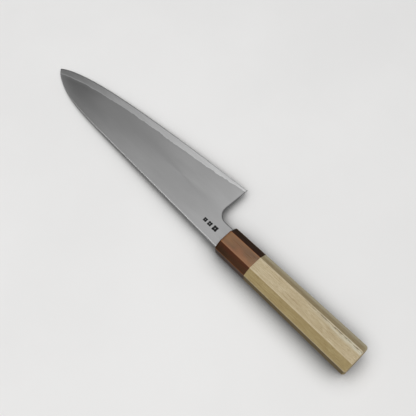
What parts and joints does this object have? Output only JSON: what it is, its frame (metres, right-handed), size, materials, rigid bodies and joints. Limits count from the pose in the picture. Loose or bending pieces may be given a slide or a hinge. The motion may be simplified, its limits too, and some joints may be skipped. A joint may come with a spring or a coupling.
{
  "type": "chef knife",
  "caption": "Chef knife with a three-layer wedge-ground blade, a horn ferrule and a tapered octagonal wooden handle over a hidden tang.",
  "frame": {"origin": "centre of the handle's butt face, on the handle axis and the blade's middle plane", "axes": "+X along the handle towards the tip, +Y towards the spine (the cutting edge faces -Y), +Z out of the blade's right side: the knife lies on its left side"},
  "size_m": [0.356, 0.056, 0.02],
  "materials": {
    "core_steel": "satin",
    "cladding_steel": "satin",
    "horn": "satin",
    "handle_wood": "satin",
    "dowel_wood": "matte",
    "adhesive": "matte",
    "wax": "matte"
  },
  "bodies": {
    "root": {"core_steel": "core_steel", "cladding_right": "cladding_steel", "cladding_left": "cladding_steel", "ferrule": "horn", "handle_body": "handle_wood", "ferrule_dowel": "dowel_wood", "tang_bedding": "adhesive", "mouth_seal": "wax"}
  },
  "joints": []
}
